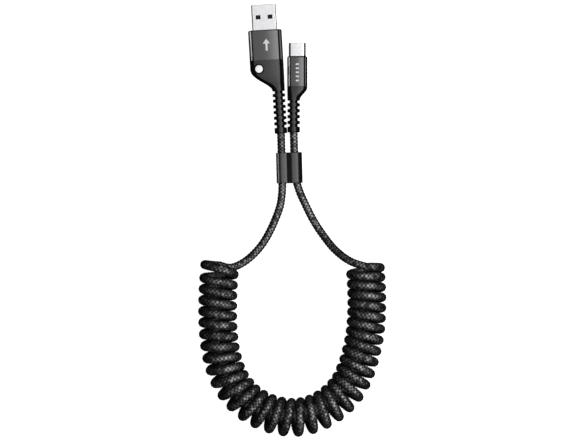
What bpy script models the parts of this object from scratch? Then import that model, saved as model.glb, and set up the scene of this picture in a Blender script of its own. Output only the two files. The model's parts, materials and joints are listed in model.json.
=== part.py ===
"""Coiled charging cable with a USB-A plug at one end and a USB-C plug at the other.

Both leads pass through one sliding clip, and the middle of the cord is wound into a long spring
that lies in the shape of a U.  Everything lies flat on z = 0.  The origin is the centre of the
clip's flat back, +Y points from the clip to the plugs, and +Z is up.
"""
from math import asin, cos, pi, radians, sin, tau

import bmesh
import bpy
from mathutils import Matrix, Vector
from mathutils.geometry import interpolate_bezier

MM = 0.001

# Clearances
SEAT_GAP = 0.1 * MM          # round a piece that sits in its neighbour
CORD_GAP = 0.3 * MM          # between a cord's end and what it meets

# Cord: braided, one diameter from plug to plug
CORD_DIAMETER = 4.1 * MM
COIL_STRAND_RADIUS = 7.6 * MM        # from the spring's axis to the middle of the cord
CORD_SIDES = 4                       # bevel resolution of a lead
COIL_SIDES = 6                       # bevel resolution of the spring's outer shape
LEAD_SPACING = 8.0 * MM              # between the points of a lead
COIL_SPACING = 7.0 * MM              # between the points of the spring's axis

# Clip: two barrels side by side, flat at the back
CLIP_LENGTH = 15.0 * MM
CLIP_TURN = radians(1.5)
CLIP_SIDE_WALL = 0.55 * MM
CLIP_FACE_WALL = 0.75 * MM
CLIP_BARREL_OFFSET = 3.1 * MM        # from the clip's middle to a barrel's axis
CLIP_BORE_PLAY_ACROSS = 1.3 * MM     # room for the cord, over its diameter
CLIP_BORE_PLAY_UP = 0.8 * MM
CLIP_BORE_CORNER = 2.2 * MM
CLIP_CORNER = 2.6 * MM
CLIP_GROOVE_DEPTH = 1.2 * MM
CLIP_END_ROUND = 0.5 * MM
CLIP_MOUTH_FLARE = 0.3 * MM

# Parts of both plugs
SLEEVE_LENGTH = 14.7 * MM
SLEEVE_COLLAR = 4.0 * MM             # solid front of the sleeve, which holds the shell
SLEEVE_WALL = 0.8 * MM
RELIEF_WIDTH = 6.1 * MM
RELIEF_HEIGHT = 5.4 * MM
RELIEF_CORNER = 2.0 * MM
RELIEF_SPINE_WIDTH = 3.8 * MM
RELIEF_SPINE_CORNER = 1.5 * MM
RELIEF_COLLAR = 3.4 * MM             # plain end behind the last notch
RELIEF_END_CUT = 0.5 * MM
FIRST_NOTCH = 1.0 * MM               # from the start of the relief to its first notch's middle
NOTCH_LENGTH = 1.35 * MM
NOTCH_ROUNDNESS = 2 / 3              # 1 is an ellipse, less has fuller corners

# USB-A plug
USB_A_TURN = radians(3.3)
USB_A_WIDTH = 16.4 * MM
USB_A_HEIGHT = 7.6 * MM
USB_A_SIDE_CUT = 2.2 * MM
USB_A_FRONT_CUT = 0.7 * MM
USB_A_BODY_LENGTH = 29.7 * MM        # from the front face to where the relief starts
USB_A_TAPER = 11.0 * MM              # over which the body narrows to the relief
USB_A_RELIEF_OFFSET = 5.0 * MM
USB_A_NOTCHES = 7
USB_A_NOTCH_PITCH = 2.77 * MM
USB_A_SHELL_WIDTH = 12.0 * MM
USB_A_SHELL_HEIGHT = 4.5 * MM
USB_A_SHELL_CORNER = 0.6 * MM
USB_A_SHELL_WALL = 0.3 * MM
USB_A_SHELL_REACH = 12.4 * MM        # that stands out of the sleeve
USB_A_WINDOW = (2.3 * MM, 2.0 * MM)
USB_A_WINDOW_SPACING = 5.8 * MM
USB_A_WINDOW_REACH = 6.3 * MM        # from the sleeve to a window's middle
USB_A_TONGUE_HEIGHT = 1.8 * MM
USB_A_TONGUE_RECESS = 0.6 * MM
USB_A_CONTACT = (1.0 * MM, 0.2 * MM)
USB_A_CONTACT_START = 1.6 * MM
USB_A_CONTACT_RECESS = 0.8 * MM      # behind the tongue's tip
USB_A_CONTACT_PLACES = (-3.5 * MM, -1.0 * MM, 1.0 * MM, 3.5 * MM)

# Round indicator on the USB-A plug
EYE_PLACE = (-3.9 * MM, -18.9 * MM)
EYE_LENS_DIAMETER = 3.7 * MM
EYE_BEZEL_DIAMETER = 4.8 * MM
EYE_DEPTH = 0.9 * MM
EYE_PROUD = 0.15 * MM
EYE_DOME = 0.25 * MM
EYE_STEPS = 32
EYE_DOME_STEPS = 4

# USB-C plug
USB_C_TURN = radians(0.0)
USB_C_WIDTH = 9.8 * MM
USB_C_HEIGHT = 6.4 * MM
USB_C_SIDE_CUT = 1.9 * MM
USB_C_FRONT_CUT = 0.45 * MM
USB_C_BODY_LENGTH = 21.3 * MM
USB_C_TAPER = 6.0 * MM
USB_C_RELIEF_OFFSET = -1.75 * MM
USB_C_NOTCHES = 5
USB_C_NOTCH_PITCH = 2.87 * MM
USB_C_SHELL_WIDTH = 8.25 * MM
USB_C_SHELL_HEIGHT = 2.4 * MM
USB_C_SHELL_WALL = 0.25 * MM
USB_C_SHELL_REACH = 6.5 * MM
USB_C_MOUTH = (6.7 * MM, 0.9 * MM)
USB_C_MOUTH_DEPTH = 5.2 * MM
USB_C_INSERT_RECESS = 0.3 * MM

CORNER_STEPS = 4                     # straight pieces in a rounded corner
NOTCH_STEPS = 6
TAPER_STEPS = 8
ROUTE_STEPS = 16                     # straight pieces between two points of a route
CUTTER_REACH = 1.0 * MM              # that a cutter runs past what it cuts

# Routes of the cord's middle line in millimetres, chosen on the photograph
LEAD_A_ROUTE = [
    (-4.03, 16.50, 3.20), (-3.91, 12.00, 3.20), (-3.80, 7.60, 3.20), (-3.60, 0.00, 3.20),
    (-3.40, -7.60, 3.20), (-3.62, -13.0, 2.75), (-4.55, -18.8, 2.20), (-6.70, -24.8, 2.05),
    (-9.60, -31.2, 2.05), (-13.3, -37.4, 2.05), (-18.1, -42.8, 2.05), (-23.6, -46.4, 2.05),
    (-29.0, -47.5, 2.05), (-33.8, -47.4, 2.05),
]
LEAD_C_ROUTE = [
    (2.15, 17.00, 3.20), (2.27, 12.50, 3.20), (2.40, 7.700, 3.20), (2.60, 2.500, 3.20),
    (3.00, -2.60, 3.20), (3.80, -7.60, 3.20), (5.30, -12.2, 2.90), (7.45, -17.0, 2.40),
    (11.6, -25.3, 2.05), (16.6, -33.0, 3.20), (22.3, -40.0, 8.10), (29.3, -45.3, 14.0),
    (36.9, -47.9, 17.25),
]
COIL_ROUTE = [
    (-34.6, -60.0), (-34.8, -71.0), (-34.3, -82.0), (-32.6, -92.5), (-28.9, -102.9),
    (-22.4, -111.7), (-14.2, -117.5), (-5.30, -120.6), (3.90, -121.3), (13.0, -119.1),
    (21.3, -114.2), (28.0, -107.2), (32.2, -98.8), (34.9, -90.0), (36.8, -80.5),
    (37.6, -70.0), (37.6, -60.0),
]


def material(name, colour, roughness, metallic=0.0):
    """A plain surface; colour is an sRGB hex value."""
    made = bpy.data.materials.new(name)
    made.use_nodes = True
    shader = made.node_tree.nodes["Principled BSDF"]
    shader.inputs["Base Color"].default_value = [*map(linear, bytes.fromhex(colour)), 1.0]
    shader.inputs["Roughness"].default_value = roughness
    shader.inputs["Metallic"].default_value = metallic
    return made


def linear(byte):
    """One sRGB channel, 0 to 255, as linear light."""
    value = byte / 255
    return value / 12.92 if value <= 0.04045 else ((value + 0.055) / 1.055) ** 2.4


def add_object(name, data, surface, frame=None):
    """Put a mesh or curve in the scene, standing on its frame if it has one."""
    made = bpy.data.objects.new(name, data)
    bpy.context.scene.collection.objects.link(made)
    data.materials.append(surface)
    made.parent = frame
    return made


def add_frame(name, place, turn):
    """An empty that its pieces are parented to."""
    frame = bpy.data.objects.new(name, None)
    bpy.context.scene.collection.objects.link(frame)
    frame.location = place
    frame.rotation_euler.z = turn
    return frame


def cut(target, cutter):
    """Cut one object out of another and keep the cutter as a guide."""
    cutter.hide_render = True
    cutter.display_type = "WIRE"
    boolean = target.modifiers.new(cutter.name, "BOOLEAN")
    boolean.operation = "DIFFERENCE"
    boolean.solver = "EXACT"
    boolean.object = cutter


def corner_ring(y, centre, size, cuts, roundness=1.0):
    """A rectangle across the Y axis whose corners are cut: 1 rounds them, 0 leaves chamfers."""
    (x, z), (width, height), (cut_x, cut_z) = centre, size, cuts
    signs = ((1, 1), (-1, 1), (-1, -1), (1, -1))
    ring = []
    for quarter, (side, top) in enumerate(signs):
        start, end = quarter * pi / 2, (quarter + 1) * pi / 2
        middle_x = x + side * (width / 2 - cut_x)
        middle_z = z + top * (height / 2 - cut_z)
        for step in range(CORNER_STEPS + 1):
            part = step / CORNER_STEPS
            angle = start + part * (end - start)
            flat = Vector((cos(start), sin(start))).lerp(Vector((cos(end), sin(end))), part)
            unit = flat.lerp(Vector((cos(angle), sin(angle))), roundness)
            ring.append(Vector((middle_x + cut_x * unit.x, y, middle_z + cut_z * unit.y)))
    return ring


def circle_ring(centre, radius, z, steps):
    """A level circle."""
    return [
        Vector((centre[0] + radius * cos(tau * i / steps), centre[1] + radius * sin(tau * i / steps), z))
        for i in range(steps)
    ]


def loft(name, rings, surface, frame=None, endless=False, smooth_under=40):
    """A solid through rings of equal corners, closed by its two ends or joined into a tube."""
    bm = bmesh.new()
    loops = [[bm.verts.new(point) for point in ring] for ring in rings]
    pairs = list(zip(loops, loops[1:]))
    if endless:
        pairs.append((loops[-1], loops[0]))
    else:
        bm.faces.new(loops[0])
        bm.faces.new(loops[-1])
    for near, far in pairs:
        for i, corner in enumerate(near):
            bm.faces.new((near[i - 1], corner, far[i], far[i - 1]))
    bmesh.ops.recalc_face_normals(bm, faces=bm.faces)
    mesh = bpy.data.meshes.new(name)
    bm.to_mesh(mesh)
    bm.free()
    mesh.shade_smooth()
    mesh.set_sharp_from_angle(angle=radians(smooth_under))
    return add_object(name, mesh, surface, frame)


def box(name, low, high, surface, frame=None):
    """A plain block between two corners."""
    bm = bmesh.new()
    bmesh.ops.create_cube(bm, size=1.0)
    size = Vector(high) - Vector(low)
    bmesh.ops.scale(bm, vec=size, verts=bm.verts)
    bmesh.ops.translate(bm, vec=Vector(low) + size / 2, verts=bm.verts)
    mesh = bpy.data.meshes.new(name)
    bm.to_mesh(mesh)
    bm.free()
    return add_object(name, mesh, surface, frame)


def smooth_route(points, spacing):
    """Points an even distance apart along a smooth curve through the given ones."""
    first, last = 2 * points[0] - points[1], 2 * points[-1] - points[-2]
    around = [first, *points, last]
    fine = [points[0]]
    for before, start, end, after in zip(around, around[1:], around[2:], around[3:]):
        lean = (end - before) / 6, (after - start) / 6
        fine += interpolate_bezier(
            start, start + lean[0], end - lean[1], end, ROUTE_STEPS)[1:]
    lengths = [0.0]
    for a, b in zip(fine, fine[1:]):
        lengths.append(lengths[-1] + (b - a).length)
    count = round(lengths[-1] / spacing)
    route, at = [fine[0]], 0
    for i in range(1, count):
        wanted = lengths[-1] * i / count
        while lengths[at + 1] < wanted:
            at += 1
        part = (wanted - lengths[at]) / (lengths[at + 1] - lengths[at])
        route.append(fine[at].lerp(fine[at + 1], part))
    return route + [fine[-1]]


def tube(name, route, radius, resolution, surface):
    """A solid cord along a route."""
    curve = bpy.data.curves.new(name, "CURVE")
    curve.dimensions = "3D"
    curve.bevel_depth = radius
    curve.bevel_resolution = resolution
    curve.use_fill_caps = True
    spline = curve.splines.new("POLY")
    spline.points.add(len(route) - 1)
    for point, place in zip(spline.points, route):
        point.co = (*place, 1.0)
    return add_object(name, curve, surface)


def millimetres(points):
    return [Vector(point) * MM for point in points]


def plug_frame(name, lead, turn, mid_height, relief_offset, length):
    """Stand a plug so that the end of its relief meets the start of its lead."""
    start = lead[0]
    out = (lead[0] - lead[1]).normalized() * CORD_GAP
    relief_end = Matrix.Rotation(turn, 3, "Z") @ Vector((relief_offset, -length, 0))
    place = start + out - relief_end
    return add_frame(name, (place.x, place.y, mid_height), turn)


def ease(part):
    """0 to 1 with a level start and end."""
    return part * part * (3 - 2 * part)


def blend(start, end, part):
    return start + (end - start) * part


def sleeve(name, size, side_cut, front_cut, slot, slot_cut, surface, frame):
    """The metal front of a plug: a collar that holds the shell, and a pocket behind it."""
    width, height = size
    cuts = (side_cut, side_cut)
    front = corner_ring(0, (0, 0), (width - 2 * front_cut, height - 2 * front_cut), cuts, 0)
    shoulder = corner_ring(-front_cut, (0, 0), size, cuts, 0)
    back = corner_ring(-SLEEVE_LENGTH, (0, 0), size, cuts, 0)
    made = loft(name, [front, shoulder, back], surface, frame, smooth_under=20)
    inner = (width - 2 * SLEEVE_WALL, height - 2 * SLEEVE_WALL)
    ends = (-SLEEVE_COLLAR, -SLEEVE_LENGTH - CUTTER_REACH)
    pocket = [corner_ring(y, (0, 0), inner, cuts, 0) for y in ends]
    cut(made, loft(name + "_pocket", pocket, surface, frame))
    ends = (CUTTER_REACH, -SLEEVE_COLLAR - CUTTER_REACH)
    hole = [corner_ring(y, (0, 0), slot, (slot_cut, slot_cut)) for y in ends]
    cut(made, loft(name + "_slot", hole, surface, frame))
    return made


def relief_length(notches, pitch):
    return FIRST_NOTCH + (notches - 1) * pitch + RELIEF_COLLAR


def notch_depths(notches, pitch):
    """Distances down the relief, each with how far its notch reaches in there, 0 to 1."""
    places = []
    for notch in range(notches):
        middle = FIRST_NOTCH + notch * pitch
        for step in range(NOTCH_STEPS + 1):
            angle = pi * step / NOTCH_STEPS
            side = -1 if step < NOTCH_STEPS / 2 else 1
            along = side * abs(cos(angle)) ** NOTCH_ROUNDNESS * NOTCH_LENGTH / 2
            depth = sin(angle) ** NOTCH_ROUNDNESS if 0 < step < NOTCH_STEPS else 0.0
            places.append((middle + along, depth))
    return places


def relief_rings(start, offset, notches, pitch, droop):
    """Down the strain relief, which is notched from both sides and keeps a spine."""
    length = relief_length(notches, pitch)
    places = notch_depths(notches, pitch) + [(length - RELIEF_END_CUT, 0.0)]
    rings = []
    for distance, depth in places:
        width = blend(RELIEF_WIDTH, RELIEF_SPINE_WIDTH, depth)
        corner = blend(RELIEF_CORNER, RELIEF_SPINE_CORNER, depth)
        middle = (offset, droop * distance / length)
        size = (width, RELIEF_HEIGHT)
        rings.append(corner_ring(start - distance, middle, size, (corner, RELIEF_CORNER)))
    end_size = (RELIEF_WIDTH - 2 * RELIEF_END_CUT, RELIEF_HEIGHT - 2 * RELIEF_END_CUT)
    corner = RELIEF_CORNER - RELIEF_END_CUT
    rings.append(corner_ring(start - length, (offset, droop), end_size, (corner, corner)))
    return rings


def taper_rings(size, side_cut, body_length, taper, offset):
    """From the body's chamfered section to the relief's round one, which lies to one side."""
    width, height = size
    rings = []
    for step in range(TAPER_STEPS + 1):
        along = step / TAPER_STEPS
        across = ease(along)
        left = blend(-width / 2, offset - RELIEF_WIDTH / 2, across)
        right = blend(width / 2, offset + RELIEF_WIDTH / 2, across)
        tall = blend(height, RELIEF_HEIGHT, across ** 2)
        corner = blend(side_cut, RELIEF_CORNER, across)
        y = taper * (1 - along) - body_length
        ring_size = (right - left, tall)
        rings.append(corner_ring(y, ((left + right) / 2, 0), ring_size, (corner, corner), across))
    return rings


def boot(name, size, side_cut, body_length, taper, offset, notches, pitch, droop, surface, frame):
    """The moulded back of a plug: a core in the sleeve, the body and the relief in one piece."""
    width, height = size
    less = 2 * (SLEEVE_WALL + SEAT_GAP)
    cuts = (side_cut, side_cut)
    shoulder = -SLEEVE_LENGTH - SEAT_GAP
    core = (width - less, height - less)
    rings = [
        corner_ring(-SLEEVE_COLLAR - SEAT_GAP, (0, 0), core, cuts, 0),
        corner_ring(shoulder, (0, 0), core, cuts, 0),
        corner_ring(shoulder, (0, 0), size, cuts, 0),
    ]
    rings += taper_rings(size, side_cut, body_length, taper, offset)
    rings += relief_rings(-body_length, offset, notches, pitch, droop)
    return loft(name, rings, surface, frame)


def shell_rings(size, corner, wall, reach):
    """Out along the outside of a plug's shell and back along its inside."""
    width, height = size
    inner = (width - 2 * wall, height - 2 * wall)
    inner_corner = corner - wall
    lip = wall / 2
    seat = -SLEEVE_COLLAR + SEAT_GAP
    lip_size = (width - 2 * lip, height - 2 * lip)
    return [
        corner_ring(seat, (0, 0), size, (corner, corner)),
        corner_ring(reach - lip, (0, 0), size, (corner, corner)),
        corner_ring(reach, (0, 0), lip_size, (corner - lip, corner - lip)),
        corner_ring(reach, (0, 0), inner, (inner_corner, inner_corner)),
        corner_ring(seat, (0, 0), inner, (inner_corner, inner_corner)),
    ]


def usb_a_plug(lead, cord_height, metal, alloy, moulding, insulator, gold, glass, black_gloss):
    """The larger plug, with its windows, contacts and round indicator."""
    size = (USB_A_WIDTH, USB_A_HEIGHT)
    mid_height = USB_A_HEIGHT / 2
    length = USB_A_BODY_LENGTH + relief_length(USB_A_NOTCHES, USB_A_NOTCH_PITCH)
    frame = plug_frame(
        "usb_a_plug", lead, USB_A_TURN, mid_height, USB_A_RELIEF_OFFSET, length)
    shell_size = (USB_A_SHELL_WIDTH, USB_A_SHELL_HEIGHT)
    rings = shell_rings(shell_size, USB_A_SHELL_CORNER, USB_A_SHELL_WALL, USB_A_SHELL_REACH)
    shell = loft("usb_a_shell", rings, metal, frame, endless=True)
    for side, label in ((-1, "left"), (1, "right")):
        cut(shell, window("usb_a_window_" + label, side, metal, frame))

    tongue_floor = -USB_A_SHELL_HEIGHT / 2 + USB_A_SHELL_WALL + SEAT_GAP
    tongue_top = tongue_floor + USB_A_TONGUE_HEIGHT
    tongue_tip = USB_A_SHELL_REACH - USB_A_TONGUE_RECESS
    half = USB_A_SHELL_WIDTH / 2 - USB_A_SHELL_WALL - SEAT_GAP
    back = -SLEEVE_COLLAR + SEAT_GAP
    box("usb_a_tongue", (-half, back, tongue_floor), (half, tongue_tip, tongue_top),
        insulator, frame)
    wide, thick = USB_A_CONTACT
    for number, x in enumerate(USB_A_CONTACT_PLACES, 1):
        low = (x - wide / 2, USB_A_CONTACT_START, tongue_top + SEAT_GAP)
        high = (x + wide / 2, tongue_tip - USB_A_CONTACT_RECESS, low[2] + thick)
        box(f"usb_a_contact_{number}", low, high, gold, frame)

    slot = (USB_A_SHELL_WIDTH + 2 * SEAT_GAP, USB_A_SHELL_HEIGHT + 2 * SEAT_GAP)
    sleeve("usb_a_sleeve", size, USB_A_SIDE_CUT, USB_A_FRONT_CUT, slot,
           USB_A_SHELL_CORNER + SEAT_GAP, alloy, frame)
    body = boot("usb_a_boot", size, USB_A_SIDE_CUT, USB_A_BODY_LENGTH, USB_A_TAPER,
                USB_A_RELIEF_OFFSET, USB_A_NOTCHES, USB_A_NOTCH_PITCH,
                cord_height - mid_height, moulding, frame)
    indicator(body, mid_height, glass, black_gloss, moulding, frame)


def window(name, side, surface, frame):
    """A cutter for the latch holes on one side of the shell, top and bottom."""
    wide, tall = USB_A_WINDOW
    x, y, z = side * USB_A_WINDOW_SPACING / 2, USB_A_WINDOW_REACH, USB_A_SHELL_HEIGHT
    return box(name, (x - wide / 2, y - tall / 2, -z), (x + wide / 2, y + tall / 2, z),
               surface, frame)


def indicator(body, top, glass, black_gloss, moulding, frame):
    """A domed lens in a dark bezel, let into the plug's body."""
    outer, lens = EYE_BEZEL_DIAMETER / 2, EYE_LENS_DIAMETER / 2
    floor = top - EYE_DEPTH
    seat = floor + SEAT_GAP
    proud = top + EYE_PROUD

    def rings(*sizes):
        return [circle_ring(EYE_PLACE, radius, z, EYE_STEPS) for radius, z in sizes]

    hole = outer + SEAT_GAP
    cut(body, loft("usb_a_eye_pocket", rings((hole, floor), (hole, top + CUTTER_REACH)),
                   moulding, frame))
    bore = lens + SEAT_GAP
    loft("usb_a_eye_bezel",
         rings((outer, seat), (outer, top), (outer - EYE_PROUD, proud), (bore, proud), (bore, seat)),
         black_gloss, frame, endless=True)
    angles = [pi / 2 * step / EYE_DOME_STEPS for step in range(EYE_DOME_STEPS)]
    dome = [(lens * cos(angle), top + EYE_DOME * sin(angle)) for angle in angles]
    loft("usb_a_eye_lens", rings((lens, seat), *dome), glass, frame)


def usb_c_plug(lead, cord_height, metal, alloy, moulding, insulator):
    """The smaller plug, whose oval shell is lined with an insulator that has a mouth."""
    size = (USB_C_WIDTH, USB_C_HEIGHT)
    mid_height = USB_C_HEIGHT / 2
    length = USB_C_BODY_LENGTH + relief_length(USB_C_NOTCHES, USB_C_NOTCH_PITCH)
    frame = plug_frame(
        "usb_c_plug", lead, USB_C_TURN, mid_height, USB_C_RELIEF_OFFSET, length)
    shell_size = (USB_C_SHELL_WIDTH, USB_C_SHELL_HEIGHT)
    corner = USB_C_SHELL_HEIGHT / 2
    rings = shell_rings(shell_size, corner, USB_C_SHELL_WALL, USB_C_SHELL_REACH)
    loft("usb_c_shell", rings, metal, frame, endless=True)

    less = 2 * (USB_C_SHELL_WALL + SEAT_GAP)
    liner = (USB_C_SHELL_WIDTH - less, USB_C_SHELL_HEIGHT - less)
    liner_corner = liner[1] / 2
    mouth_corner = USB_C_MOUTH[1] / 4
    tip = USB_C_SHELL_REACH - USB_C_INSERT_RECESS
    loft("usb_c_insert", [
        corner_ring(-SLEEVE_COLLAR + SEAT_GAP, (0, 0), liner, (liner_corner, liner_corner)),
        corner_ring(tip, (0, 0), liner, (liner_corner, liner_corner)),
        corner_ring(tip, (0, 0), USB_C_MOUTH, (mouth_corner, mouth_corner)),
        corner_ring(tip - USB_C_MOUTH_DEPTH, (0, 0), USB_C_MOUTH, (mouth_corner, mouth_corner)),
    ], insulator, frame)

    slot = (USB_C_SHELL_WIDTH + 2 * SEAT_GAP, USB_C_SHELL_HEIGHT + 2 * SEAT_GAP)
    sleeve("usb_c_sleeve", size, USB_C_SIDE_CUT, USB_C_FRONT_CUT, slot, corner + SEAT_GAP,
           alloy, frame)
    boot("usb_c_boot", size, USB_C_SIDE_CUT, USB_C_BODY_LENGTH, USB_C_TAPER,
         USB_C_RELIEF_OFFSET, USB_C_NOTCHES, USB_C_NOTCH_PITCH, cord_height - mid_height,
         moulding, frame)


def clip_ring(y, half_width, half_height, shrink):
    """The clip's outline across the cords: flat below, two barrels with a groove between above."""
    wide, tall, corner = half_width - shrink, half_height - shrink, CLIP_CORNER - shrink
    outer_x = CLIP_BARREL_OFFSET + wide - corner
    inner_x = CLIP_BARREL_OFFSET - wide + corner
    groove = half_height - CLIP_GROOVE_DEPTH - shrink
    last = pi - asin((groove - tall + corner) / corner)
    arcs = (
        (outer_x, corner - tall, -pi / 2, 0.0),
        (outer_x, tall - corner, 0.0, pi / 2),
        (inner_x, tall - corner, pi / 2, last),
    )
    right = []
    for x, z, start, end in arcs:
        for step in range(CORNER_STEPS + 1):
            angle = blend(start, end, step / CORNER_STEPS)
            right.append(Vector((x + corner * cos(angle), y, z + corner * sin(angle))))
    left = [Vector((-point.x, point.y, point.z)) for point in reversed(right)]
    return right + left


def clip(bore, half_height, surface):
    """Holds both leads side by side; the cords slide through its barrels."""
    frame = add_frame("clip_slide", (0, 0, half_height), CLIP_TURN)
    half_width = bore[0] / 2 + CLIP_SIDE_WALL
    end, shoulder = CLIP_LENGTH / 2, CLIP_LENGTH / 2 - CLIP_END_ROUND
    ends = ((-end, CLIP_END_ROUND), (-shoulder, 0), (shoulder, 0), (end, CLIP_END_ROUND))
    rings = [clip_ring(y, half_width, half_height, shrink) for y, shrink in ends]
    made = loft("cable_clip", rings, surface, frame)
    flared = (bore[0] + 2 * CLIP_MOUTH_FLARE, bore[1] + 2 * CLIP_MOUTH_FLARE)
    narrow = end - 2 * CLIP_MOUTH_FLARE
    past = end + CUTTER_REACH
    places = (
        (-past, flared), (-end, flared), (-narrow, bore),
        (narrow, bore), (end, flared), (past, flared),
    )
    for side, label in ((-1, "left"), (1, "right")):
        hole = [
            corner_ring(y, (side * CLIP_BARREL_OFFSET, 0), size,
                        (CLIP_BORE_CORNER, CLIP_BORE_CORNER))
            for y, size in places
        ]
        cut(made, loft("clip_bore_" + label, hole, surface, frame))


def cord(lead_a, lead_c, surface):
    """Two leads, and the outer shape of the spring between them."""
    radius = CORD_DIAMETER / 2
    outer = COIL_STRAND_RADIUS + radius
    clear = radius + CORD_GAP
    tube("cord_lead_a", smooth_route(lead_a, LEAD_SPACING), radius, CORD_SIDES, surface)
    tube("cord_lead_c", smooth_route(lead_c, LEAD_SPACING), radius, CORD_SIDES, surface)
    ends = [Vector((lead[-1].x, lead[-1].y - clear)) for lead in (lead_a, lead_c)]
    axis = [ends[0], *millimetres(COIL_ROUTE), ends[1]]
    raised = [Vector((point.x, point.y, outer)) for point in axis]
    tube("cord_coil", smooth_route(raised, COIL_SPACING), outer, COIL_SIDES, surface)


def main():
    for old in list(bpy.data.objects):
        bpy.data.objects.remove(old)
    metal = material("nickel plated steel", "d9d9dc", 0.25, 1.0)
    alloy = material("anodised aluminium", "4b4c50", 0.38, 0.8)
    moulding = material("thermoplastic elastomer", "232325", 0.55)
    insulator = material("liquid crystal polymer", "161616", 0.5)
    gold = material("gold plated contact", "d8b25c", 0.25, 1.0)
    glass = material("opal polycarbonate", "f4f6f8", 0.2)
    black_gloss = material("black polycarbonate", "0b0b0c", 0.15)
    clip_plastic = material("glossy polycarbonate", "2b2b2d", 0.2)
    braid = material("braided nylon", "19191b", 0.7)

    lead_a, lead_c = millimetres(LEAD_A_ROUTE), millimetres(LEAD_C_ROUTE)
    bore = (CORD_DIAMETER + CLIP_BORE_PLAY_ACROSS, CORD_DIAMETER + CLIP_BORE_PLAY_UP)
    cord_height = bore[1] / 2 + CLIP_FACE_WALL
    usb_a_plug(lead_a, cord_height, metal, alloy, moulding, insulator, gold, glass, black_gloss)
    usb_c_plug(lead_c, cord_height, metal, alloy, moulding, insulator)
    clip(bore, cord_height, clip_plastic)
    cord(lead_a, lead_c, braid)


main()
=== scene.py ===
# %% [markdown]
# # A coiled charging cable
#
# One braided cord runs from a USB-A plug to a USB-C plug. Both leads pass through a small clip, and
# the middle of the cord is wound into a long spring that lies in the shape of a U.
#
# The sizes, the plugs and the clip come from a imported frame, in metres, with +Z up. This script adds
# what the eye looks at: the braid, rounded edges, moulded surfaces and a soft studio light.

import json
from math import acos, atan, atan2, cos, pi, radians, sin, tau

import bmesh
import bpy
from mathutils import Matrix, Vector
from mathutils.geometry import interpolate_bezier


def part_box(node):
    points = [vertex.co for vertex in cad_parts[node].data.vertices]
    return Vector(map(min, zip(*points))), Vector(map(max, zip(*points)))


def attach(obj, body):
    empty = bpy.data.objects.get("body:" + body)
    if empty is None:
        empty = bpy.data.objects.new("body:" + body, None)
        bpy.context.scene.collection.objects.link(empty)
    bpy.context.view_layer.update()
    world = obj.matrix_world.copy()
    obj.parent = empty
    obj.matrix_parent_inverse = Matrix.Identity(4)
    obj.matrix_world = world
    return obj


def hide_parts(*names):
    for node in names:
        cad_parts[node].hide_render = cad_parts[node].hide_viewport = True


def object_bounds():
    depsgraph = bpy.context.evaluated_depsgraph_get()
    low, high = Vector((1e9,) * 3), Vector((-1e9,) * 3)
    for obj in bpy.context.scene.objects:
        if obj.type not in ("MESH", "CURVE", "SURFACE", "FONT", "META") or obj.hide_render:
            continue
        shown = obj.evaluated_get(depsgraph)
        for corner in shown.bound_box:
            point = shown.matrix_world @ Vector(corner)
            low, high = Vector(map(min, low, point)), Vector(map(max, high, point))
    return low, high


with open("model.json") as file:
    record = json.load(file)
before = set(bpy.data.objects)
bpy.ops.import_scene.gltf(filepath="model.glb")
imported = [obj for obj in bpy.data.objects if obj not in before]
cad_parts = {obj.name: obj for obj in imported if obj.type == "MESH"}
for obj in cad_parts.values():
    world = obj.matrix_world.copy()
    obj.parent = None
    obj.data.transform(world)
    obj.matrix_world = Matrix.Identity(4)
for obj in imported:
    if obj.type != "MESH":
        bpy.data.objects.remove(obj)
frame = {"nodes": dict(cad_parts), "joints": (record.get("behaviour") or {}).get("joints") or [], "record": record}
cad_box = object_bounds()
MM = 0.001
MERGE = 0.001 * MM
cad_size = [round(side / MM, 1) for side in cad_box[1] - cad_box[0]]
print("frame:", len(frame["nodes"]), "nodes,", *cad_size, "mm")

# %% [markdown]
# ## Camera
#
# The photograph looks straight down with a long lens, so the plugs' sides are hardly seen. A camera
# that looks down needs no turning in Blender. Its lens follows from how wide the picture is on the
# table and how high the camera stands.

# %% Camera
VIEW_WIDTH = 286.8 * MM
VIEW_CENTRE = Vector((2.29, -25.7, 4.0)) * MM
CAMERA_HEIGHT = 1.5

lens = bpy.data.cameras.new("studio_camera")
lens.sensor_width = 36.0
lens.lens = lens.sensor_width * CAMERA_HEIGHT / VIEW_WIDTH
lens.clip_end = 20.0
camera = bpy.data.objects.new("studio_camera", lens)
camera.location = VIEW_CENTRE + Vector((0, 0, CAMERA_HEIGHT))
bpy.context.scene.collection.objects.link(camera)
bpy.context.scene.camera = camera
print("lens:", round(lens.lens), "mm")

# %% [markdown]
# ## Floor and light
#
# Small glossy black things are mostly seen by what they mirror. Here two large softboxes hang over
# the table, the right one brighter than the left one, so a level face shows a gentle gradient. A
# narrow strip light stands close by on each side of the plugs, and a chamfer catches it as a thin
# line. Between softbox and strip it mirrors nothing, which draws the black edges.
#
# Two more softboxes stand beyond the ends. They mean little to a camera that looks straight down, but
# the plugs mirror them when it looks from the side.
#
# The board that the cable lies on glows, as a light table does, so shadows stay faint on it. Only the
# camera sees that glow: light from below would turn every black edge grey. The world is pale to the
# camera too, gives a weak fill, and mirrors as almost black.

# %% Colours and nodes
def linear(colour):
    """An sRGB hex colour as linear light, with an alpha of 1."""
    channels = []
    for byte in bytes.fromhex(colour):
        value = byte / 255
        channels.append(value / 12.92 if value <= 0.04045 else ((value + 0.055) / 1.055) ** 2.4)
    return (*channels, 1.0)


def add(tree, kind, inputs=None, **settings):
    """Add one shader node; an input is a value, or another node's output to link."""
    made = tree.nodes.new("ShaderNode" + kind)
    for name, value in settings.items():
        setattr(made, name, value)
    for key, value in (inputs or {}).items():
        if isinstance(value, bpy.types.NodeSocket):
            tree.links.new(value, made.inputs[key])
        else:
            made.inputs[key].default_value = value
    return made


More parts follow.
